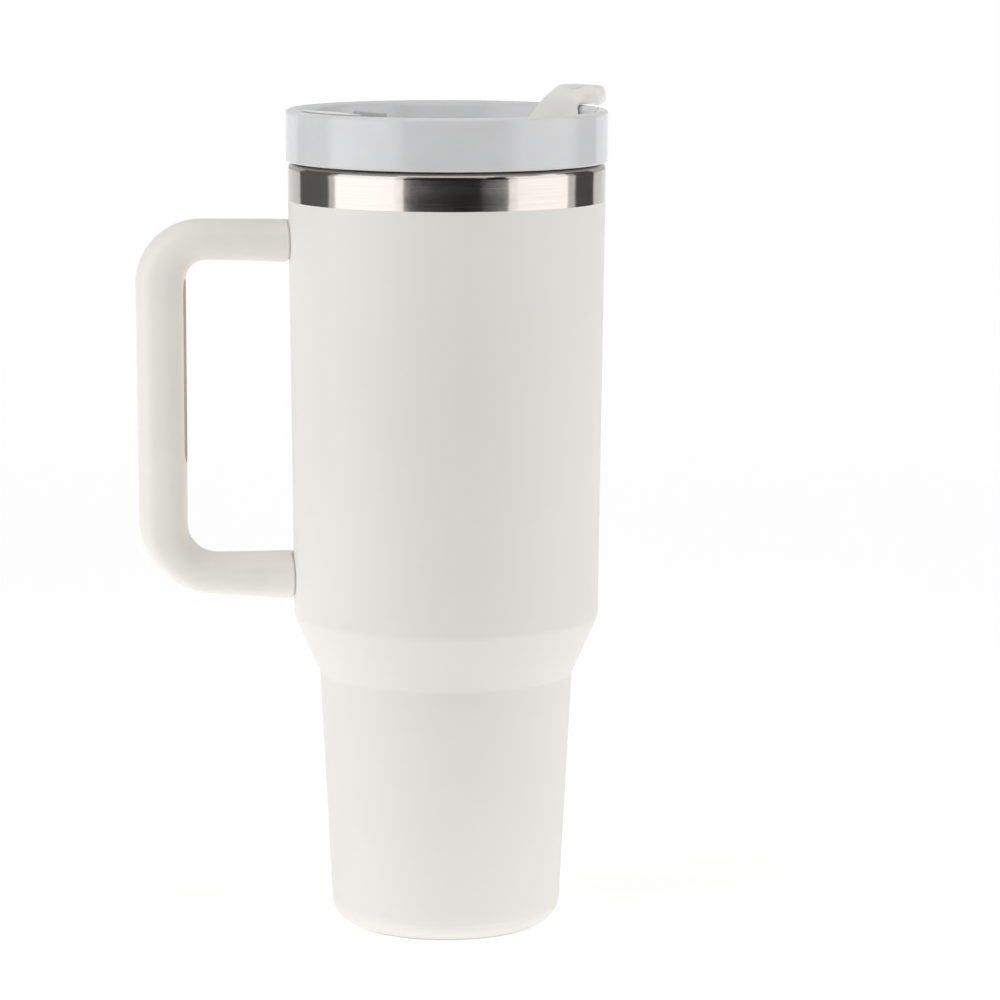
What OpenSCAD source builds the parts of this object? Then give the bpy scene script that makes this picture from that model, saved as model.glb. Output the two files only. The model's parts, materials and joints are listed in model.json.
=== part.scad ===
// Insulated tumbler with a push-in lid, a side handle and a turning cover on the lid.
// The origin is the centre of the base, +Z is up the cup's axis and the handle points to -X.

/* [Cup] */
// Height of the steel cup from its foot to its lip
cup_h = 242.6; // [200:0.1:292]
// Outside radius at the lip
mouth_r = 49.9; // [42:0.1:60]
// Outside radius at the top of the shoulder cone
upper_r = 48.2; // [40.1:0.05:58]
// Outside radius at the bottom of the shoulder cone
lower_r = 40.1; // [33:0.1:47.7]
// Outside radius where the lower side would meet the floor
foot_r = 36; // [30:0.1:43.6]
// Height of the bottom of the shoulder cone
shoulder_z = 80.9; // [60:0.1:97]
// Height of the shoulder cone
shoulder_h = 18.3; // [14:0.1:24]
// Rounding of the base corner
base_round = 7.6; // [4:0.1:9.2]
// Height of the bare steel band under the lid
band_h = 11.7; // [6:0.1:15]

/* [Walls] */
// Thickness of the outer steel wall
wall = 0.9; // [0.7:0.05:1.2]
// Thickness of the inner steel wall
liner_t = 0.8; // [0.6:0.05:1]
// Vacuum gap between the two walls
vac_gap = 2.5; // [1.8:0.1:3.2]
// Thickness of the powder coat
coat_t = 0.25; // [0.15:0.05:0.4]
// Height of the inner cup's floor above the foot
liner_z = 8; // [7:0.1:12]

/* [Handle] */
// Reach of the handle's outer face from the cup's axis
handle_reach = 97.9; // [90:0.1:120]
// Thickness of the handle, seen from the side
handle_t = 13.8; // [13.6:0.1:18]
// Depth of the handle, from its front to its back
handle_d = 21.6; // [18:0.1:26]
// Rounding of the handle's section
handle_r = 6.4; // [5:0.1:6.8]
// Outside bend radius of the upper corner
bend_top = 20.3; // [18.5:0.1:26]
// Outside bend radius of the lower corner
bend_low = 24; // [18.5:0.1:30]
// Lean of the grip, which follows the cup's taper
handle_tilt = 0.5; // [0:0.1:2]
// Drop from the cup's lip to the top of the upper arm
handle_drop = 17.7; // [14:0.1:25]
// Rise from the shoulder cone to the bottom of the lower arm
handle_rise = 5.8; // [3:0.1:20]
// Wall of the hollow handle
handle_wall = 2.8; // [2.4:0.1:3.4]
// Thickness of the soft insert on the grip's inner face
insert_t = 1; // [0.8:0.1:1.6]
// Length of the soft insert
insert_len = 55.5; // [40:0.5:62]
// Radius of the handle screws' shanks
handle_screw_r = 2; // [1.5:0.1:2.5]

/* [Lid] */
// Height of the lid's outer ring
ring_h = 16.3; // [14:0.1:20]
// Overhang of the lid's ring past the cup's lip
ring_over = 0.6; // [0:0.1:2]
// Depth of the dish below the rim
dish_depth = 12.4; // [11:0.1:14]
// Thickness of the dish's floor
floor_t = 2.4; // [2:0.1:3]
// Depth of the plug below the ring
plug_depth = 15.3; // [14:0.1:20]
// Radial thickness of the lid's seal, bead included
seal_t = 2.1; // [1.9:0.1:2.6]

/* [Cover] */
// Direction of the cover's lip in the rest position
cover_az = 217; // [0:1:359]
// Width of the cover bar
bar_w = 30; // [27:0.1:33]
// Thickness of the cover bar
bar_t = 5.1; // [4.8:0.1:5.8]
// Width of the slot that holds the flap
slot_w = 16.2; // [13.6:0.1:19.5]
// Radius of the straw bore
straw_r = 5.65; // [4:0.05:6]
// Radius of the drinking hole in the bar
drink_r = 5; // [4:0.1:5.6]
// Length of the carry tab past the lid's ring
tab_len = 8.4; // [7.5:0.1:16]
// Radius of the hole in the carry tab
tab_hole_r = 3.6; // [2.5:0.1:4]
// Thickness of the flap
flap_t = 2; // [1.6:0.1:2.2]
// Height of the flap's finger tab above the bar
finger_h = 7; // [5:0.1:7.5]
// Radius of the flap's hinge pin
pin_r = 0.9; // [0.7:0.05:1]

/* [Hidden] */
$fn = 64;

// clearances
move_gap = 0.3;      // between pieces that move past each other
turn_gap = 0.05;     // radial, between a shaft and its bore
seat_gap = 0.1;      // between a piece and the pocket it is fitted in
plug_gap = 0.5;      // between the lid's plug and the inner wall at the plug's foot
over = 1;            // how far a cutting solid runs past the face it cuts

// cup
shoulder_top = shoulder_z + shoulder_h;
coat_low = 0.3;
coat_high = cup_h - band_h;
cover_r = foot_r - base_round - 4.7;
join_r = mouth_r - 2.2;
liner_out = wall + vac_gap;
base_t = 0.8;
base_r = foot_r - base_round - 0.5;
dimple_r = 6.5;
dimple_h = 2;
seal_hole_r = 1;

// lid
lid_z = cup_h + move_gap;
rim_z = lid_z + ring_h;
floor_z = rim_z - dish_depth;
lid_r = mouth_r + ring_over;
dish_r = lid_r - 7;
dish_top_r = lid_r - 3.9;
ring_t = 2.2;
plug_r = cup_r(lid_z - plug_depth) - liner_out - liner_t - plug_gap;
seat_r = plug_r - 1.8;
spigot_r = plug_r - 3.8;
spigot_t = 2.2;
seal_h = 7.8;
seat_h = 8.3;

// cover
bar_z = floor_z + move_gap;
bar_top = bar_z + bar_t;
port_pos = dish_r - 10.5;
floor_port_r = drink_r + 0.2;
hub_r = 4;
hub_drop = move_gap + floor_t + move_gap;
washer_t = 1.2;
washer_r = 7.5;
pivot_r = 1.2;
sleeve_r = straw_r + 0.95;
seal_ring = [sleeve_r + 0.3, sleeve_r + 1.6];
seal_ring_h = 1.1;
lip_half = 17;
tip_half = 6.5;
tip_r = 5;
tab_rise = 6.2;
tab_t = 4.6;
neck_half = 9.2;
waist_half = 10.2;
neck_r = 3;

// flap
flap_top = bar_top - 0.2;
flap_z = flap_top - flap_t;
flap_w = slot_w - 2 * move_gap;
recess_z = flap_z - move_gap;
pin_pos = port_pos - 10.5;
pin_z = bar_top - 1.7;
knuckle_r = 1.7;
pin_half = slot_w / 2 + 3;
finger_pos = port_pos - 3.5;
finger_t = 2;
finger_w = flap_w + 3.4;

// ---- outlines: a path is a list of [radius, height, rounding] ----
function unit(v) = v / norm(v);
function left(v) = [-v[1], v[0]];
function flat(p) = [p[0], p[1]];
function side(p, i) = left(unit(flat(p[i + 1]) - flat(p[i])));
function turned(a, b) = sign(cross(a, b));

// the path moved sideways by d, to its left, with its roundings kept concentric
function shifted(p, d) = [for (i = [0 : len(p) - 1])
    let (a = side(p, max(i - 1, 0)), b = side(p, min(i, len(p) - 2)),
         q = flat(p[i]) + d * (a + b) / (1 + a * b))
    [q[0], q[1], p[i][2] == 0 ? 0 : p[i][2] - d * turned(a, b)]];

function corner(a, b, c, r, n = 8) =
    let (u = unit(b - a), v = unit(c - b), turn = atan2(cross(u, v), u * v),
         s = sign(turn), from = b - u * r * tan(abs(turn) / 2), mid = from + left(u) * r * s,
         start = atan2(from[1] - mid[1], from[0] - mid[0]))
    r == 0 ? [b] : [for (k = [0 : n]) mid + r * [cos(start + turn * k / n), sin(start + turn * k / n)]];

function rounded(p) = [for (i = [0 : len(p) - 1])
    each (i == 0 || i == len(p) - 1 ? [flat(p[i])]
        : corner(flat(p[i - 1]), flat(p[i]), flat(p[i + 1]), p[i][2]))];

function reversed(p) = [for (i = [len(p) - 1 : -1 : 0]) p[i]];
function closed_by(a, b) = concat(rounded(a), reversed(rounded(b)));

function cup_r(z) = lookup(z, [[0, foot_r], [shoulder_z, lower_r], [shoulder_top, upper_r], [cup_h, mouth_r]]);

cup_line = [[cover_r, 0, 0], [foot_r, 0, base_round], [lower_r, shoulder_z, 4],
    [upper_r, shoulder_top, 6], [mouth_r, cup_h, 2], [join_r, cup_h, 0]];
liner_line = [[0, liner_z, 0], [cup_r(liner_z) - liner_out, liner_z, 9], [lower_r - liner_out, shoulder_z, 4],
    [upper_r - liner_out, shoulder_top, 6], [mouth_r - liner_out, cup_h - liner_t, 1.2],
    [join_r, cup_h - liner_t, 0]];
dish_line = [[0, floor_z, 0], [dish_r, floor_z, 3.5], [dish_top_r, rim_z, 2.4], [lid_r, rim_z, 1.2],
    [lid_r, lid_z, 0.8], [spigot_r, lid_z, 0]];

// a disc, ring or sleeve standing on the height z
module ring(z, h, outer, inner = 0) {
    translate([0, 0, z]) difference() {
        cylinder(h = h, r = outer);
        if (inner > 0) translate([0, 0, -over]) cylinder(h = h + 2 * over, r = inner);
    }
}

// ---- cup ----
module coat_outline() {
    intersection() {
        polygon(closed_by(cup_line, shifted(cup_line, coat_t)));
        translate([0, coat_low]) square([mouth_r + over, coat_high - coat_low]);
    }
}

// everything inside the cup's outer surface, grown by gap
module cup_solid(gap) {
    outline = rounded(shifted(cup_line, -gap));
    rotate_extrude() polygon(concat([[0, -gap]], outline, [[0, cup_h + gap]]));
}

module outer_wall() {
    color("lightgray") rotate_extrude() difference() {
        polygon(closed_by(cup_line, shifted(cup_line, wall)));
        coat_outline();
    }
}

module powder_coat() {
    color("ivory") difference() {
        rotate_extrude() coat_outline();
        bracket_bar(arm_z_top, seat_gap);
        bracket_bar(arm_z_low, seat_gap);
    }
}

module inner_liner() {
    color("silver") rotate_extrude() polygon(closed_by(liner_line, shifted(liner_line, liner_t)));
}

module vacuum_base() {
    color("silver") difference() {
        union() {
            ring(wall, base_t, base_r, dimple_r - base_t);
            ring(wall, dimple_h + base_t, dimple_r, dimple_r - base_t);
            ring(wall + dimple_h, base_t, dimple_r);
        }
        ring(0, liner_z, seal_hole_r);
    }
}

module vacuum_seal() {
    color("goldenrod") {
        ring(wall + dimple_h - 1, 1, 2.4);
        ring(wall + dimple_h, base_t, seal_hole_r);
    }
}

module getter() {
    color("dimgray") ring(liner_z - 1.4, 1.4, 6);
}

module base_cover() {
    color("lightgray") ring(0, wall, cover_r - seat_gap);
}

// ---- handle ----
arm_z_top = cup_h - handle_drop - handle_t / 2;
arm_z_low = shoulder_top + handle_rise + handle_t / 2;
bend_top_at = [bend_top - handle_reach, arm_z_top + handle_t / 2 - bend_top];
bend_low_at = [bend_low - handle_reach, arm_z_low - handle_t / 2 + bend_low];

bracket_len = 17;
bracket_w = handle_d - 2 * handle_r;
screw_pos = 9;
screw_head_r = 3.6;
screw_head_h = 1.5;
insert_from = 2;

// the whole handle leans with the cup's taper, about the outside of its upper corner
module leaned() {
    translate([-handle_reach, 0, bend_top_at[1]]) rotate([0, -handle_tilt, 0])
        translate([handle_reach, 0, -bend_top_at[1]]) children();
}

// rounded section of the handle, its outer face at x = 0, taken in by the wall w
module handle_section(w) {
    t = handle_t - 2 * w;
    d = handle_d - 2 * w;
    r = handle_r - w;
    translate([handle_t / 2, 0]) {
        square([t - 2 * r, d], center = true);
        square([t, d - 2 * r], center = true);
        for (x = [r - t / 2, t / 2 - r], y = [r - d / 2, d / 2 - r]) translate([x, y]) circle(r = r);
    }
}

// a quarter bend of the handle about a point in the X-Z plane
module bend(at, outside, from, w) {
    translate([at[0], 0, at[1]]) rotate([90, 0, 0]) rotate([0, 0, from])
        rotate_extrude(angle = 90) translate([outside, 0]) mirror([1, 0]) handle_section(w);
}

// an arm from the bend to inside the cup, where the cup's outline trims it
module arm(x, z, w) {
    translate([x, 0, z + handle_t / 2]) rotate([0, 90, 0])
        linear_extrude(height = -x - mouth_r / 2) handle_section(w);
}

module handle_bar(w) {
    arm(bend_top_at[0], arm_z_top, w);
    bend(bend_top_at, bend_top, 90, w);
    translate([-handle_reach, 0, bend_low_at[1]])
        linear_extrude(height = bend_top_at[1] - bend_low_at[1]) handle_section(w);
    bend(bend_low_at, bend_low, 180, w);
    arm(bend_low_at[0], arm_z_low, w);
}

module bracket_bar(z, gap) {
    h = handle_t - 2 * handle_wall - 2 * seat_gap + 2 * gap;
    w = bracket_w + 2 * gap;
    x = cup_r(z) + bracket_len + gap;
    leaned() translate([-x, -w / 2, z - h / 2]) cube([x - mouth_r / 2, w, h]);
}

module bracket(z) {
    color("silver") difference() {
        bracket_bar(z, 0);
        cup_solid(-coat_t);
        at_screw(z) cylinder(h = 2 * handle_t, r = handle_screw_r, center = true);
    }
}

module at_screw(z) {
    leaned() translate([-cup_r(z) - screw_pos, 0, z]) children();
}

module upper_bracket() { bracket(arm_z_top); }

module lower_bracket() { bracket(arm_z_low); }

// the room for the soft insert: a slice of the grip's inner face, and the slot for its rib
module insert_room() {
    x = handle_t - handle_reach;
    z = bend_top_at[1] - insert_from - insert_len;
    rib_w = handle_d / 3;
    leaned() {
        translate([x - insert_t, -handle_d, z]) cube([insert_t + over, 2 * handle_d, insert_len]);
        translate([x - handle_wall - over, -rib_w / 2, z + handle_wall])
            cube([handle_wall + over, rib_w, insert_len - 2 * handle_wall]);
    }
}

module handle_shell() {
    color("ivory") difference() {
        leaned() difference() {
            handle_bar(0);
            handle_bar(handle_wall);
        }
        cup_solid(seat_gap);
        insert_room();
        for (z = [arm_z_top, arm_z_low]) at_screw(z) {
            translate([0, 0, -handle_t]) cylinder(h = handle_t, r = handle_screw_r + seat_gap);
            translate([0, 0, -handle_t / 2 - over])
                cylinder(h = screw_head_h + over, r = screw_head_r + seat_gap);
        }
    }
}

module grip_insert() {
    color("tan") intersection() {
        leaned() difference() {
            handle_bar(0);
            handle_bar(handle_wall);
        }
        insert_room();
    }
}

module handle_screws() {
    color("gray") for (z = [arm_z_top, arm_z_low]) at_screw(z) {
        translate([0, 0, -handle_t / 2]) cylinder(h = screw_head_h, r = screw_head_r);
        translate([0, 0, -handle_t / 2]) cylinder(h = handle_t / 2 + 2, r = handle_screw_r);
    }
}

// ---- lid ----
module in_cover() { rotate([0, 0, cover_az]) children(); }

module lid_outline() {
    groove_top = rim_z - 4.5;
    lean = (dish_top_r - dish_r) / dish_depth;
    difference() {
        polygon(concat(rounded(dish_line), [[spigot_r, lid_z - plug_depth + 3.6],
            [spigot_r - spigot_t, lid_z - plug_depth + 3.6], [spigot_r - spigot_t, floor_z - floor_t],
            [0, floor_z - floor_t]]));
        polygon([[dish_r + ring_t, lid_z - over], [lid_r - ring_t, lid_z - over], [lid_r - ring_t, groove_top],
            [dish_r + ring_t + lean * (groove_top - floor_z), groove_top], [dish_r + ring_t, floor_z]]);
    }
}

module lid_shell() {
    color("white") difference() {
        rotate_extrude() lid_outline();
        ring(floor_z - floor_t - over, floor_t + 2 * over, hub_r + turn_gap);
        in_cover() {
            translate([port_pos, 0, floor_z - floor_t - over]) cylinder(h = floor_t + 2 * over, r = floor_port_r);
            translate([port_pos - 13, 0, floor_z - floor_t - over]) cylinder(h = floor_t + 2 * over, r = 1.2);
        }
    }
}

module lid_plug() {
    low = lid_z - plug_depth;
    color("darkgray") rotate_extrude() polygon(rounded([[spigot_r, lid_z, 0], [spigot_r, low + 3.6, 0],
        [spigot_r + 1.6, low, 0], [plug_r, low, 1], [plug_r, lid_z - seat_h, 0.5],
        [seat_r, lid_z - seat_h, 0], [seat_r, lid_z, 0]]));
}

module lid_seal() {
    bead_r = seal_t / 2;
    color("dimgray") rotate_extrude() {
        translate([seat_r, lid_z - seat_h + 0.2]) square([bead_r, seal_h]);
        for (z = [bead_r + 0.9, seal_h - bead_r - 0.9])
            translate([seat_r + seal_t / 2, lid_z - seat_h + 0.2 + z]) circle(r = bead_r);
    }
}

// ---- cover ----
module slot(z, h, w) {
    translate([0, 0, z]) {
        translate([-port_pos, -w / 2, 0]) cube([2 * port_pos, w, h]);
        for (x = [-port_pos, port_pos]) translate([x, 0, 0]) cylinder(h = h, r = w / 2);
    }
}

// side view of the carry tab: it climbs the dish's wall, crosses the rim and leans out
tab_line = [[port_pos, bar_z, 0], [port_pos, bar_top, 0], [lid_r - 9.5, bar_top, 4],
    [lid_r - 5.9, rim_z + 2.4, 3], [lid_r + 4.5, rim_z + tab_rise - 0.3, 8], [lid_r + tab_len, rim_z + tab_rise, 2],
    [lid_r + tab_len, rim_z + tab_rise - tab_t, 2], [lid_r + 0.8, rim_z + move_gap + 0.1, 0], [lid_r, bar_z, 0]];
tab_lean = atan2(tab_rise - 2.4, tab_len + 5.9);

// top view of the tab: it narrows from the bar's width to a neck and ends in a blunt round tip
module tab_plan() {
    side = [[0, bar_w / 2, 0], [lid_r - 9.5, bar_w / 2, neck_r], [lid_r - 5.9, neck_half, neck_r],
        [lid_r + 2, waist_half, tip_r], [lid_r + tab_len, tip_half, tip_r]];
    polygon(rounded(concat([for (p = side) [p[0], -p[1], p[2]]],
        [for (i = [len(side) - 1 : -1 : 0]) side[i]])));
}

module carry_tab() {
    mirror([1, 0, 0]) difference() {
        intersection() {
            translate([0, bar_w / 2, 0]) rotate([90, 0, 0]) linear_extrude(height = bar_w) polygon(rounded(tab_line));
            linear_extrude(height = rim_z + 4 * tab_rise) tab_plan();
        }
        translate([lid_r + 3.2, 0, rim_z + 3.2]) rotate([0, -tab_lean, 0])
            cylinder(h = 8 * tab_t, r = tab_hole_r, center = true);
    }
}

// the low lip at the other end, which lies along the rim's inner edge
module lip() {
    edge = lid_r - 2.7;
    intersection() {
        translate([0, 0, bar_z]) cylinder(h = rim_z + 0.5 - bar_z, r = edge);
        union() {
            translate([dish_r - 4, -bar_w / 2, bar_z]) cube([lid_r, bar_w, bar_t]);
            translate([0, 0, bar_top - over]) linear_extrude(height = rim_z)
                polygon([[lid_r - 8.7, 0], [edge - 3.6, lip_half], [lid_r, lip_half],
                    [lid_r, -lip_half], [edge - 3.6, -lip_half]]);
        }
    }
}

// the dish's wall, the rim and all that lies beyond it below the rim's top, grown by the moving gap
module wall_clearance() {
    outline = rounded(shifted([for (i = [0 : 2]) dish_line[i], [2 * lid_r, rim_z, 0]], move_gap));
    intersection() {
        rotate_extrude() polygon(concat(outline, [[2 * lid_r, lid_z], [0, lid_z]]));
        ring(bar_z - over, rim_z, 2 * lid_r, dish_r - 6);
    }
}

module cover_bar() {
    color("beige") in_cover() difference() {
        union() {
            intersection() {
                translate([-dish_r, -bar_w / 2, bar_z]) cube([2 * dish_r, bar_w, bar_t]);
                ring(bar_z, bar_t, dish_r);
            }
            carry_tab();
            lip();
            ring(bar_z - hub_drop, hub_drop + over, hub_r);
        }
        wall_clearance();
        slot(recess_z, rim_z, slot_w);
        translate([-pin_pos - knuckle_r - move_gap, -slot_w / 2, pin_z - knuckle_r - move_gap])
            cube([2 * knuckle_r + 4 * move_gap, slot_w, rim_z]);
        translate([-pin_pos, 0, pin_z]) rotate([90, 0, 0])
            cylinder(h = 2 * (pin_half + seat_gap), r = pin_r + turn_gap, center = true);
        translate([-port_pos, 0, bar_z - over]) cylinder(h = bar_t, r = sleeve_r);
        translate([port_pos, 0, bar_z - over]) cylinder(h = bar_t, r = drink_r);
        for (x = [-port_pos, port_pos]) translate([x, 0, 0])
            ring(bar_z - over, seal_ring_h + over, seal_ring[1], seal_ring[0]);
        translate([0, 0, bar_z - hub_drop - over]) cylinder(h = hub_drop + over + 1.5, r = pivot_r);
    }
}

module straw_grommet() {
    color("gainsboro") in_cover() difference() {
        union() {
            intersection() {
                slot(recess_z, flap_top - recess_z, slot_w);
                translate([-2 * lid_r, -lid_r, 0])
                    cube([2 * lid_r - pin_pos - knuckle_r - 2 * move_gap, 2 * lid_r, 2 * rim_z]);
            }
            translate([-port_pos, 0, bar_z]) cylinder(h = recess_z - bar_z, r = sleeve_r);
        }
        translate([-port_pos, 0, 0]) cylinder(h = 2 * rim_z, r = straw_r);
    }
}

module port_seals() {
    color("dimgray") in_cover() for (x = [-port_pos, port_pos]) translate([x, 0, 0])
        ring(bar_z - seat_gap, seal_ring_h + seat_gap, seal_ring[1], seal_ring[0]);
}

module pivot_washer() {
    color("silver") ring(bar_z - hub_drop - washer_t, washer_t, washer_r, pivot_r);
}

module pivot_screw() {
    head = 1.6;
    color("gray") {
        ring(bar_z - hub_drop - washer_t - head, head, 2.8);
        ring(bar_z - hub_drop - washer_t - head, head + washer_t + hub_drop + 1, pivot_r);
    }
}

// ---- flap ----
module finger_tab() {
    rise = bar_top + finger_h - flap_top;
    translate([finger_pos - rise, flap_w / 2, flap_top]) rotate([90, 0, 0])
        linear_extrude(height = flap_w) difference() {
            translate([0, -flap_t / 2]) square([rise + finger_t / 2, rise + flap_t / 2]);
            translate([0, rise]) circle(r = rise - finger_t / 2);
        }
    translate([finger_pos - finger_t / 2, 0, bar_top + move_gap]) rotate([90, 0, 90])
        linear_extrude(height = finger_t) intersection() {
            translate([-finger_w / 2, 0]) square([finger_w, finger_h - move_gap]);
            translate([0, finger_h - move_gap - finger_w]) circle(r = finger_w);
        }
}

module drink_flap() {
    color("darkgray") in_cover() difference() {
        union() {
            translate([-pin_pos, -flap_w / 2, flap_z]) cube([pin_pos + finger_pos, flap_w, flap_t]);
            intersection() {
                translate([finger_pos - over, -flap_w / 2, flap_z]) cube([slot_w, flap_w, flap_t - 0.8]);
                union() {
                    translate([port_pos, 0, flap_z]) cylinder(h = flap_t, r = flap_w / 2);
                    translate([finger_pos - over, -flap_w / 2, flap_z])
                        cube([port_pos - finger_pos + over, flap_w, flap_t]);
                }
            }
            translate([-pin_pos, 0, pin_z]) rotate([90, 0, 0]) cylinder(h = flap_w, r = knuckle_r, center = true);
            finger_tab();
        }
        translate([-pin_pos, 0, pin_z]) rotate([90, 0, 0]) cylinder(h = 2 * flap_w, r = pin_r, center = true);
    }
}

module flap_stopper() {
    color("dimgray") in_cover() translate([port_pos, 0, 0]) ring(bar_z + 0.5, flap_z - bar_z - 0.5, drink_r - move_gap);
}

module flap_pin() {
    color("silver") in_cover() translate([-pin_pos, 0, pin_z]) rotate([90, 0, 0])
        cylinder(h = 2 * pin_half, r = pin_r, center = true);
}

outer_wall();
powder_coat();
inner_liner();
vacuum_base();
vacuum_seal();
getter();
base_cover();
upper_bracket();
lower_bracket();
handle_shell();
grip_insert();
handle_screws();
lid_shell();
lid_plug();
lid_seal();
cover_bar();
straw_grommet();
port_seals();
pivot_washer();
pivot_screw();
drink_flap();
flap_stopper();
flap_pin();
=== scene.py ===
import json
import math

import bmesh
import bpy
from mathutils import Matrix, Vector

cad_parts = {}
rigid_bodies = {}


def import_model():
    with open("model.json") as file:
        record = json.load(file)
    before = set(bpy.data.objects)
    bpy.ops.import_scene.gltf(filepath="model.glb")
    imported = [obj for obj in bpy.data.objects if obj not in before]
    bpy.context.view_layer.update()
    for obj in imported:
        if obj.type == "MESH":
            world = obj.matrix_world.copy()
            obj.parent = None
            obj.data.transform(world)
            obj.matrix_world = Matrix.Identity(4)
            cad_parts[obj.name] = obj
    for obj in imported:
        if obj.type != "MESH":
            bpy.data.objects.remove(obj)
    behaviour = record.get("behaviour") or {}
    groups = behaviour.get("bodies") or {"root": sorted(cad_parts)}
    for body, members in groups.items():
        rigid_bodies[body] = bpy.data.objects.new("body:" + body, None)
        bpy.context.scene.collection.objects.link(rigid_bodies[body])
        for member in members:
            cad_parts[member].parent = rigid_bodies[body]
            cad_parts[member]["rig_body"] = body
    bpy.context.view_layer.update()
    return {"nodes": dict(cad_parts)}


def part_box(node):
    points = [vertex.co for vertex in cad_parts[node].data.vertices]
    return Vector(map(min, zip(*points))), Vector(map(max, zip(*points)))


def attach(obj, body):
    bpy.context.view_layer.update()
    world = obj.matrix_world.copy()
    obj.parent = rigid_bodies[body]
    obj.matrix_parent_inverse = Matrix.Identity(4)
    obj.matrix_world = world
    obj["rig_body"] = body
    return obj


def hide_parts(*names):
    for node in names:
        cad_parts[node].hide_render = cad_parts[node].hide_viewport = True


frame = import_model()

MM = 0.001
scene = bpy.context.scene
scene.view_settings.view_transform = "Standard"

# ---- places that the frame gives ----
wall_low, wall_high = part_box("outer_wall")
CUP_TOP = wall_high.z
LIP_RADIUS = wall_high.x
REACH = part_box("handle_shell")[0].x
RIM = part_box("lid_shell")[1].z
COVER_TURN = math.radians(217)

# ---- finishes ----
def finish(name, colour, roughness, metallic=0.0, **sockets):
    material = bpy.data.materials.new(name)
    material.use_nodes = True
    shader = material.node_tree.nodes["Principled BSDF"]
    shader.inputs["Base Color"].default_value = (*colour, 1)
    shader.inputs["Roughness"].default_value = roughness
    shader.inputs["Metallic"].default_value = metallic
    for socket, value in sockets.items():
        shader.inputs[socket.replace("_", " ")].default_value = value
    return material


def place(tree, stretch):
    """Object coordinates, stretched along each axis."""
    where = tree.nodes.new("ShaderNodeTexCoord")
    mapping = tree.nodes.new("ShaderNodeMapping")
    mapping.inputs["Scale"].default_value = stretch
    tree.links.new(where.outputs["Object"], mapping.inputs["Vector"])
    return mapping.outputs["Vector"]


def speckle(tree, stretch, scale, detail=2.0, distortion=0.0):
    noise = tree.nodes.new("ShaderNodeTexNoise")
    noise.inputs["Scale"].default_value = scale
    noise.inputs["Detail"].default_value = detail
    noise.inputs["Distortion"].default_value = distortion
    tree.links.new(place(tree, stretch), noise.inputs["Vector"])
    return noise.outputs["Fac"]


def spread(tree, source, low, high, start=0.3, end=0.7):
    reach = tree.nodes.new("ShaderNodeMapRange")
    reach.inputs["From Min"].default_value = start
    reach.inputs["From Max"].default_value = end
    reach.inputs["To Min"].default_value = low
    reach.inputs["To Max"].default_value = high
    tree.links.new(source, reach.inputs["Value"])
    return reach.outputs["Result"]


def tint(tree, source, dark, light):
    mix = tree.nodes.new("ShaderNodeMix")
    mix.data_type = "RGBA"
    mix.inputs[6].default_value = (*dark, 1)
    mix.inputs[7].default_value = (*light, 1)
    tree.links.new(source, mix.inputs[0])
    return mix.outputs[2]


def relief(tree, source, depth, strength=1.0, below=None):
    bump = tree.nodes.new("ShaderNodeBump")
    bump.inputs["Distance"].default_value = depth
    bump.inputs["Strength"].default_value = strength
    tree.links.new(source, bump.inputs["Height"])
    if below is not None:
        tree.links.new(below, bump.inputs["Normal"])
    return bump.outputs["Normal"]


def wire(tree, **sources):
    shader = tree.nodes["Principled BSDF"]
    for socket, source in sources.items():
        tree.links.new(source, shader.inputs[socket.replace("_", " ")])


def powder_coat_finish():
    """Cream powder coat: a fine orange peel with small pinhead grains."""
    material = finish("cream_powder_coat", (0.86, 0.85, 0.82), 0.5)
    tree = material.node_tree
    peel = speckle(tree, (1, 1, 1), 900, 2)
    grain = speckle(tree, (1, 1, 1), 3200, 1)
    cloud = speckle(tree, (1, 1, 1), 16, 2)
    wire(tree,
         Base_Color=tint(tree, spread(tree, cloud, 0, 1), (0.835, 0.818, 0.776), (0.86, 0.845, 0.803)),
         Roughness=spread(tree, grain, 0.46, 0.62),
         Normal=relief(tree, grain, 0.00003, 0.5, relief(tree, peel, 0.00006, 0.6)))
    return material


def moulded_finish(name, dark, light, roughness, grain_scale=2200, grain_depth=0.00002, **sockets):
    """Moulded plastic: a fine mould texture, and slow changes of gloss and tone."""
    material = finish(name, light, roughness, **sockets)
    tree = material.node_tree
    grain = speckle(tree, (1, 1, 1), grain_scale, 1.5)
    flow = speckle(tree, (1, 1, 1), 45, 2, 0.6)
    wire(tree,
         Base_Color=tint(tree, spread(tree, flow, 0, 1), dark, light),
         Roughness=spread(tree, flow, roughness - 0.04, roughness + 0.05),
         Normal=relief(tree, grain, grain_depth, 0.6))
    return material


def brushed_finish(name, colour, low, high, around=40, along=5200, depth=0.000012):
    """Turned and brushed steel: hair lines that run round the cup's axis."""
    material = finish(name, colour, 0.25, 1.0)
    tree = material.node_tree
    hair = speckle(tree, (around, around, along), 1, 3)
    smudge = speckle(tree, (1, 1, 1), 55, 2)
    gloss = spread(tree, hair, low, high)
    tone = tint(tree, spread(tree, hair, 0, 1), tuple(c * 0.9 for c in colour), colour)
    wire(tree, Base_Color=tone, Roughness=gloss, Normal=relief(tree, hair, depth, 0.5,
                                                              relief(tree, smudge, 0.0001, 0.08)))
    return material


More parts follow.
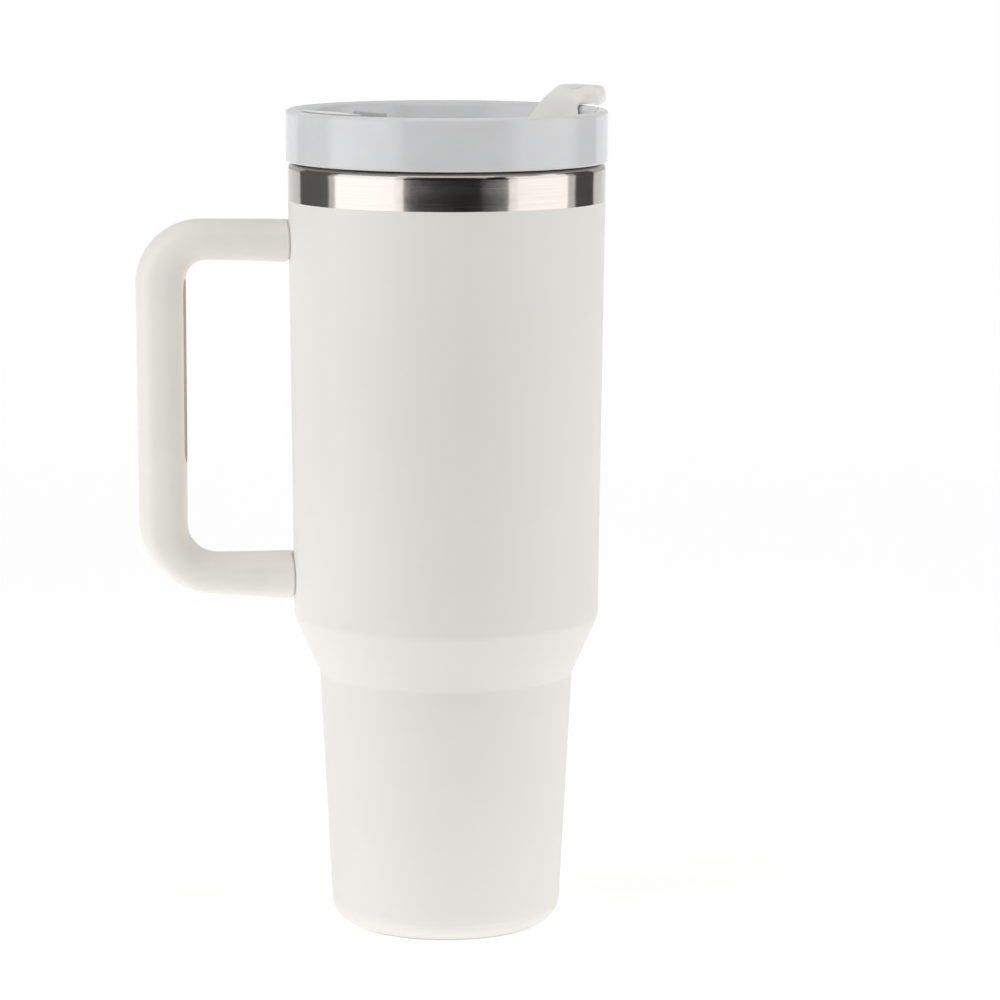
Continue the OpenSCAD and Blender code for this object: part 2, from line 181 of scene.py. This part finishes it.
coat = powder_coat_finish()
handle_plastic = moulded_finish("cream_handle_plastic", (0.91, 0.878, 0.822), (0.94, 0.908, 0.852), 0.42)
# the grip pad's darker warm grey is partly its own colour and partly painted shade of the grip's inner face,
# which turns away from the lamps
grip_rubber = moulded_finish("grip_grey_and_painted_shade", (0.44, 0.39, 0.32), (0.48, 0.43, 0.355), 0.62, 1500, 0.00006)
band_steel = brushed_finish("brushed_steel", (0.50, 0.465, 0.43), 0.07, 0.12, depth=0.000004)
liner_steel = brushed_finish("inner_steel", (0.62, 0.61, 0.60), 0.2, 0.34, 30, 2600, 0.00002)
small_steel = brushed_finish("fastener_steel", (0.55, 0.55, 0.55), 0.22, 0.32, 800, 800, 0.000006)
lid_plastic = moulded_finish("milky_lid_plastic", (0.68, 0.685, 0.695), (0.72, 0.725, 0.735), 0.12,
                             1200, 0.000006, Subsurface_Weight=0.15, Subsurface_Scale=0.003)
plug_plastic = moulded_finish("warm_grey_plug", (0.46, 0.44, 0.41), (0.5, 0.48, 0.45), 0.32)
seal_rubber = moulded_finish("dark_grey_silicone", (0.15, 0.155, 0.16), (0.19, 0.195, 0.2), 0.48,
                             900, 0.00002)
cover_plastic = moulded_finish("cream_cover_plastic", (0.86, 0.855, 0.82), (0.895, 0.89, 0.86), 0.36)
grommet_plastic = moulded_finish("grey_beige_grommet", (0.52, 0.51, 0.47), (0.57, 0.56, 0.52), 0.5)
flap_plastic = moulded_finish("grey_flap_plastic", (0.45, 0.455, 0.46), (0.5, 0.505, 0.51), 0.38)
solder = moulded_finish("dull_solder", (0.35, 0.33, 0.3), (0.42, 0.4, 0.36), 0.5)

finish_of = {
    "powder_coat": coat, "outer_wall": band_steel, "base_cover": band_steel, "vacuum_base": liner_steel,
    "vacuum_seal": solder, "getter": solder, "inner_liner": liner_steel,
    "upper_bracket": small_steel, "lower_bracket": small_steel, "handle_shell": handle_plastic,
    "grip_insert": grip_rubber, "handle_screws": small_steel, "lid_shell": lid_plastic,
    "lid_plug": plug_plastic, "lid_seal": seal_rubber, "cover_bar": cover_plastic,
    "straw_grommet": grommet_plastic,
    "port_seals": seal_rubber, "pivot_washer": small_steel, "pivot_screw": small_steel,
    "drink_flap": flap_plastic, "flap_stopper": seal_rubber, "flap_pin": small_steel,
}
for name, node in frame["nodes"].items():
    node.data.materials.clear()
    node.data.materials.append(finish_of[name])


# ---- making pieces ----
def make_piece(name, bm, material, body, nodes, sharp=35):
    bmesh.ops.remove_doubles(bm, verts=bm.verts, dist=0.000002)
    bmesh.ops.recalc_face_normals(bm, faces=bm.faces)
    for face in bm.faces:
        face.smooth = True
    limit = math.radians(sharp)
    for edge in bm.edges:
        edge.smooth = edge.calc_face_angle(0) < limit
    mesh = bpy.data.meshes.new(name)
    bm.to_mesh(mesh)
    bm.free()
    piece = bpy.data.objects.new(name, mesh)
    scene.collection.objects.link(piece)
    mesh.materials.append(material)
    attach(piece, body)
    if nodes:
        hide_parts(*nodes)
    return piece


def smooth(bm, verts, rounds):
    for _ in range(rounds):
        bmesh.ops.smooth_vert(bm, verts=verts, factor=0.5, use_axis_x=True, use_axis_y=True, use_axis_z=True)


def softened(name, node, voxel, rounds, turn, shape=None):
    """The node's shape with its moulded edges rounded over.

    It is worked on unturned, lying along X as the cover is drawn, and shape(bm) may reshape it there.
    """
    source = frame["nodes"][node]
    bm = bmesh.new()
    bm.from_mesh(source.data)
    bmesh.ops.remove_doubles(bm, verts=bm.verts, dist=0.000001)
    bmesh.ops.rotate(bm, verts=bm.verts, cent=(0, 0, 0), matrix=Matrix.Rotation(-turn, 3, "Z"))
    mesh = bpy.data.meshes.new(name)
    bm.to_mesh(mesh)
    bm.free()
    blank = bpy.data.objects.new(name + "_blank", mesh)
    scene.collection.objects.link(blank)
    remesh = blank.modifiers.new("remesh", "REMESH")
    remesh.mode = "VOXEL"
    remesh.voxel_size = voxel
    bpy.context.view_layer.update()
    made = bpy.data.meshes.new_from_object(blank.evaluated_get(bpy.context.evaluated_depsgraph_get()))
    bpy.data.objects.remove(blank)
    bm = bmesh.new()
    bm.from_mesh(made)
    smooth(bm, bm.verts, rounds)
    if shape:
        shape(bm)
    bmesh.ops.rotate(bm, verts=bm.verts, cent=(0, 0, 0), matrix=Matrix.Rotation(turn, 3, "Z"))
    return make_piece(name, bm, finish_of[node], source["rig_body"], [node], sharp=60)


# ---- handle ----
ROUND = 56
DEPTH = 10.8 * MM
SQUARENESS = 2.7
WAIST_RADIUS, WAIST_TOP = 48.2 * MM, 99.2 * MM


def section(verts, outer, inner, inset=0.0):
    """Lays a loop of points out as the handle's section, between two points of its side view."""
    middle, across = (outer + inner) / 2, (outer - inner)
    half = across.length / 2 - inset
    across.normalize()
    for k, vert in enumerate(verts):
        a = 2 * math.pi * k / len(verts)
        u = math.copysign(abs(math.cos(a)) ** (2 / SQUARENESS), math.cos(a)) * half
        v = math.copysign(abs(math.sin(a)) ** (2 / SQUARENESS), math.sin(a)) * (DEPTH - inset)
        vert.co = middle + across * u + Vector((0, v, 0))


def next_loop(bm, loop):
    edges = [bm.edges.get((loop[k], loop[(k + 1) % len(loop)])) for k in range(len(loop))]
    made = bmesh.ops.extrude_edge_only(bm, edges=edges)
    new = {v for v in made["geom"] if isinstance(v, bmesh.types.BMVert)}
    return [next(e.other_vert(v) for e in v.link_edges if e.other_vert(v) in new) for v in loop]


def cup_radius(z):
    """Outside radius of the cup's upper body at height z."""
    return LIP_RADIUS - (LIP_RADIUS - WAIST_RADIUS) * (CUP_TOP - z) / (CUP_TOP - WAIST_TOP)


ARM_TOP = CUP_TOP - 18.2 * MM
ARM_TOP_UNDER = CUP_TOP - 30.8 * MM
ARM_LOW_OVER = CUP_TOP - 124.4 * MM
ARM_LOW = CUP_TOP - 136.9 * MM
GRIP_BACK = REACH + 0.02 * MM
GRIP_FACE = -82.3 * MM
TOP_BEND, TOP_BEND_IN = 20.3 * MM, 6.9 * MM
LOW_BEND, LOW_BEND_IN = 24.0 * MM, 9.0 * MM
LEAN, LEAN_IN = 0.6 * MM, 0.15 * MM
# where the arms flare towards the cup: place, and how far each side moves out
TOP_FLARE = ((53.0, 0.5), (56.5, 0.35), (61.0, 0.2), (66.5, 0.08), (72.0, 0.0))
LOW_FLARE = ((68.0, 0.08, 0.35), (62.0, 0.2, 0.7), (56.5, 0.35, 1.0), (53.0, 0.5, 1.25))
# the arms' ends: distance off the cup's side, and how far the section draws in there
ARM_ENDS = ((-0.6, 1.0), (0.3, 0.95), (0.42, 0.45), (0.75, 0.12), (1.4, 0.0))


def bend(start, steps, centre, radius, centre_in, radius_in):
    """Outer and inner points round a quarter turn of the handle."""
    ways = [math.radians(start + 90 * k / steps) for k in range(steps + 1)]
    ways = [Vector((math.cos(a), 0, math.sin(a))) for a in ways]
    return [(centre + way * radius, centre_in + way * radius_in) for way in ways]


def handle_stations():
    """Outer and inner points of the handle's side view, from the upper arm's end to the lower arm's."""
    stations = []
    for x, flare in TOP_FLARE:
        stations.append((Vector((-x * MM, 0, ARM_TOP)), Vector((-x * MM, 0, ARM_TOP_UNDER - flare * MM))))
    centre = Vector((GRIP_BACK + TOP_BEND, 0, ARM_TOP - TOP_BEND))
    centre_in = Vector((GRIP_FACE + TOP_BEND_IN, 0, ARM_TOP_UNDER - TOP_BEND_IN))
    stations += bend(90, 16, centre, TOP_BEND, centre_in, TOP_BEND_IN)
    low_centre = Vector((GRIP_BACK + LEAN + LOW_BEND, 0, ARM_LOW + LOW_BEND))
    low_centre_in = Vector((GRIP_FACE + LEAN_IN + LOW_BEND_IN, 0, ARM_LOW_OVER + LOW_BEND_IN))
    low_bend = bend(180, 18, low_centre, LOW_BEND, low_centre_in, LOW_BEND_IN)
    first, last = stations[-1], low_bend[0]
    grip = [(first[0].lerp(last[0], k / 12), first[1].lerp(last[1], k / 12)) for k in range(1, 12)]
    stations += grip + low_bend
    for x, rise, drop in LOW_FLARE:
        low, over = ARM_LOW - drop * MM, ARM_LOW_OVER + rise * MM
        stations.append((Vector((-x * MM, 0, low)), Vector((-x * MM, 0, over))))
    return stations


def meet_cup(loop, outer, inner, offset, inset):
    """Lays the loop on the cup's side, that far off it."""
    section(loop, outer, inner, inset)
    for vert in loop:
        radius = cup_radius(vert.co.z) + offset
        vert.co.x = -math.sqrt(radius ** 2 - vert.co.y ** 2)


def make_handle():
    bm = bmesh.new()
    stations = handle_stations()
    loop = bmesh.ops.create_circle(bm, cap_ends=False, segments=ROUND, radius=DEPTH)["verts"]
    top, foot = stations[0], stations[-1]
    first = loop
    for k, (offset, inset) in enumerate(ARM_ENDS):
        if k:
            loop = next_loop(bm, loop)
        meet_cup(loop, *top, offset * MM, inset * MM)
    for outer, inner in stations:
        loop = next_loop(bm, loop)
        section(loop, outer, inner)
    for offset, inset in reversed(ARM_ENDS):
        loop = next_loop(bm, loop)
        meet_cup(loop, *foot, offset * MM, inset * MM)
    bmesh.ops.contextual_create(bm, geom=first)
    bmesh.ops.contextual_create(bm, geom=loop)
    return make_piece("handle", bm, handle_plastic, "cup", ["handle_shell"])


make_handle()


def make_insert():
    """Soft pad let into the grip's inner face: it follows the face's crown and has rounded ends."""
    half_width, proud, least = 4.6 * MM, 0.06 * MM, 0.08 * MM
    top, foot = CUP_TOP - 36.4 * MM, CUP_TOP - 95.4 * MM
    half_length, half_depth = (top - foot) / 2, (GRIP_FACE - REACH) / 2
    bm = bmesh.new()
    bmesh.ops.create_grid(bm, x_segments=16, y_segments=60, size=1)
    for vert in bm.verts:
        s, t = vert.co.x, vert.co.y
        z = (top + foot) / 2 + t * half_length
        end = max(0.0, half_width - half_length * (1 - abs(t)))
        y = s * math.sqrt(max(half_width ** 2 - end ** 2, least ** 2))
        crown = half_depth * (1 - (1 - abs(y / DEPTH) ** SQUARENESS) ** (1 / SQUARENESS))
        edge = max(abs(s), abs(t) ** 8)
        x = GRIP_FACE - crown + proud * (1 - edge ** 6) + LEAN_IN * (1 - t) / 2
        vert.co = Vector((x, y, z))
    bmesh.ops.recalc_face_normals(bm, faces=bm.faces)
    if sum(f.normal.x for f in bm.faces) < 0:
        bmesh.ops.reverse_faces(bm, faces=bm.faces)
    bmesh.ops.solidify(bm, geom=bm.faces[:] + bm.edges[:] + bm.verts[:], thickness=1.1 * MM)
    return make_piece("grip_pad", bm, grip_rubber, "cup", ["grip_insert"])


make_insert()


SCREW_OUT = 9 * MM
HEAD_RADIUS, HEAD_HEIGHT, HEAD_SHOWN, HEAD_EDGE = 3.3 * MM, 2.4 * MM, 0.2 * MM, 0.45 * MM
SOCKET_EDGE, SOCKET_FLAT, SOCKET_DEPTH = 1.45 * MM, 1.25 * MM, 1.2 * MM


def underside(faces):
    """The largest face that looks down."""
    down = [f for f in faces if f.normal.z < -0.9]
    return max(down, key=lambda f: f.calc_area())


def make_screw_caps():
    """Screw heads with a hexagon socket, one under each arm."""
    bm = bmesh.new()
    for z in (ARM_TOP_UNDER + 0.12 * MM, ARM_LOW - 0.45 * MM):
        x = -(cup_radius(z) + SCREW_OUT)
        middle = z - HEAD_SHOWN + HEAD_HEIGHT / 2
        before = set(bm.faces)
        bmesh.ops.create_cone(bm, cap_ends=True, segments=48, radius1=HEAD_RADIUS, radius2=HEAD_RADIUS,
                              depth=HEAD_HEIGHT, matrix=Matrix.Translation((x, 0, middle)))
        bm.normal_update()
        rim = list(underside(set(bm.faces) - before).edges)
        bmesh.ops.bevel(bm, geom=rim, offset=HEAD_EDGE, segments=3, affect="EDGES", profile=0.5, material=-1,
                        offset_type="OFFSET", clamp_overlap=True)
        bm.normal_update()
        bottom = underside(set(bm.faces) - before)
        bmesh.ops.inset_individual(bm, faces=[bottom], thickness=SOCKET_EDGE)
        for corner in bottom.verts:
            axis = Vector((x, 0, corner.co.z))
            out = corner.co - axis
            a = math.atan2(out.y, out.x) % (math.pi / 3) - math.pi / 6
            corner.co = axis + out.normalized() * (SOCKET_FLAT / math.cos(a))
        pushed = bmesh.ops.extrude_discrete_faces(bm, faces=[bottom])["faces"][0]
        bmesh.ops.translate(bm, verts=pushed.verts, vec=(0, 0, SOCKET_DEPTH))
    return make_piece("handle_screw_heads", bm, small_steel, "cup", ["handle_screws"])


make_screw_caps()

# ---- lid's turning cover ----
TAB_ROOT, TAB_TIP = 43.5 * MM, 58.5 * MM
TAB_FOOT, TAB_TOP = RIM + 0.3 * MM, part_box("cover_bar")[1].z
TAB_LIFT, TAB_SAG = 1.5 * MM, 1.3 * MM
SAG_FROM, SAG_OVER = LIP_RADIUS + 2 * MM, 1.5 * MM
TAB_NECK, TAB_SIDES, TAB_DOME, TAB_ROUNDS = -0.2, 0.07, 0.26, 18


def plump_tab(bm):
    """Swells the carry tab into a small pillow: a domed top, full sides and a rounded end."""
    tab = [v for v in bm.verts if -v.co.x > TAB_ROOT]
    for vert in tab:
        along = min((-vert.co.x - TAB_ROOT) / (TAB_TIP - TAB_ROOT), 1.0)
        high = min(max((vert.co.z - TAB_FOOT) / (TAB_TOP - TAB_FOOT), 0.0), 1.0)
        past_ring = min(max((-vert.co.x - SAG_FROM) / SAG_OVER, 0.0), 1.0)
        lift = TAB_LIFT * high * math.sin(math.pi * along)
        vert.co.z = min(vert.co.z + lift, TAB_TOP) - TAB_SAG * (1 - high) * past_ring
        swell = TAB_NECK + (TAB_SIDES - TAB_NECK) * min(along / 0.6, 1.0)
        vert.co.y *= 1 + min(along * 4, 1.0) * (swell - TAB_DOME * max(2 * high - 1, 0.0) ** 2)
    smooth(bm, tab, TAB_ROUNDS)


softened("turning_cover", "cover_bar", 0.42 * MM, 5, COVER_TURN, plump_tab)
softened("straw_ring", "straw_grommet", 0.22 * MM, 4, COVER_TURN)
softened("lift_flap", "drink_flap", 0.25 * MM, 4, COVER_TURN)


# ---- studio ----
def aim(thing, place, target):
    thing.location = place
    thing.rotation_euler = (target - place).to_track_quat("-Z", "Y").to_euler()


def around(azimuth, distance, z):
    """A place that far from the cup, at an angle from the camera's side; positive is towards +X."""
    a = math.radians(azimuth)
    return Vector((math.sin(a) * distance, -math.cos(a) * distance, z))


def softbox(name, azimuth, width, height, distance, power, z=0.35):
    lamp = bpy.data.lights.new(name, "AREA")
    lamp.shape = "RECTANGLE"
    lamp.size, lamp.size_y = width, height
    lamp.energy = power
    holder = bpy.data.objects.new(name, lamp)
    scene.collection.objects.link(holder)
    aim(holder, around(azimuth, distance, z), Vector((0, 0, z)))
    holder.visible_camera = False
    return holder


def flag(name, azimuth, width, height, distance, shade):
    """A dark card that shades the cup from one side."""
    bm = bmesh.new()
    bmesh.ops.create_grid(bm, x_segments=1, y_segments=1, size=0.5)
    bmesh.ops.scale(bm, verts=bm.verts, vec=(width, height, 1))
    mesh = bpy.data.meshes.new(name)
    bm.to_mesh(mesh)
    bm.free()
    card = bpy.data.objects.new(name, mesh)
    scene.collection.objects.link(card)
    mesh.materials.append(finish(name + "_card", (shade, shade, shade), 0.9))
    aim(card, around(azimuth, distance, height / 2), Vector((0, 0, height / 2)))
    card.visible_camera = False
    return card


def floor_card(name, width, near, far, shade):
    """A grey card laid on the floor in front of the cup, out of the picture."""
    card = flag(name, 0, width, far - near, 1, shade)
    card.location = (0, -(near + far) / 2, 2 * MM)
    card.rotation_euler = (0, 0, 0)


softbox("left_softbox", -58, 1.17, 1.5, 1.1, 6.9)
softbox("right_softbox", 71, 1.07, 1.5, 1.1, 5.5)
top = softbox("top_softbox", 0, 0.25, 0.25, 0.14, 0.12, 0.43)
aim(top, top.location.copy(), Vector((0, 0, RIM)))
flag("front_flag", 8, 3.9, 2.4, 2.0, 0.02)
flag("left_flag", -111, 0.76, 1.6, 1.1, 0.2)
floor_card("floor_card", 1.7, 0.35, 1.95, 0.45)
flag("right_flag", 118, 0.52, 1.6, 1.1, 0.13)

world = bpy.data.worlds.new("studio")
scene.world = world
world.use_nodes = True
world.node_tree.nodes["Background"].inputs["Color"].default_value = (1, 1, 1, 1)
world.node_tree.nodes["Background"].inputs["Strength"].default_value = 0.67

deck = bmesh.new()
bmesh.ops.create_grid(deck, x_segments=1, y_segments=1, size=16)
sheet = bpy.data.meshes.new("floor")
deck.to_mesh(sheet)
deck.free()
floor = bpy.data.objects.new("floor", sheet)
scene.collection.objects.link(floor)
floor.data.materials.append(finish("white_floor", (0.95, 0.95, 0.95), 0.85,
                                   Emission_Color=(1, 1, 1, 1), Emission_Strength=0.37))

# ---- camera ----
camera_data = bpy.data.cameras.new("camera")
camera_data.lens = 155.4
camera_data.sensor_width = 36
camera_data.clip_start = 0.05
camera = bpy.data.objects.new("camera", camera_data)
scene.collection.objects.link(camera)
camera.location = (0.0170, -1.3537, 0.3379)
pitch, roll = 0.1484, -0.0034
tilt = Matrix.Rotation(math.pi / 2 - pitch, 3, "X") @ Matrix.Rotation(-roll, 3, "Z")
camera.rotation_euler = tilt.to_euler()
scene.camera = camera
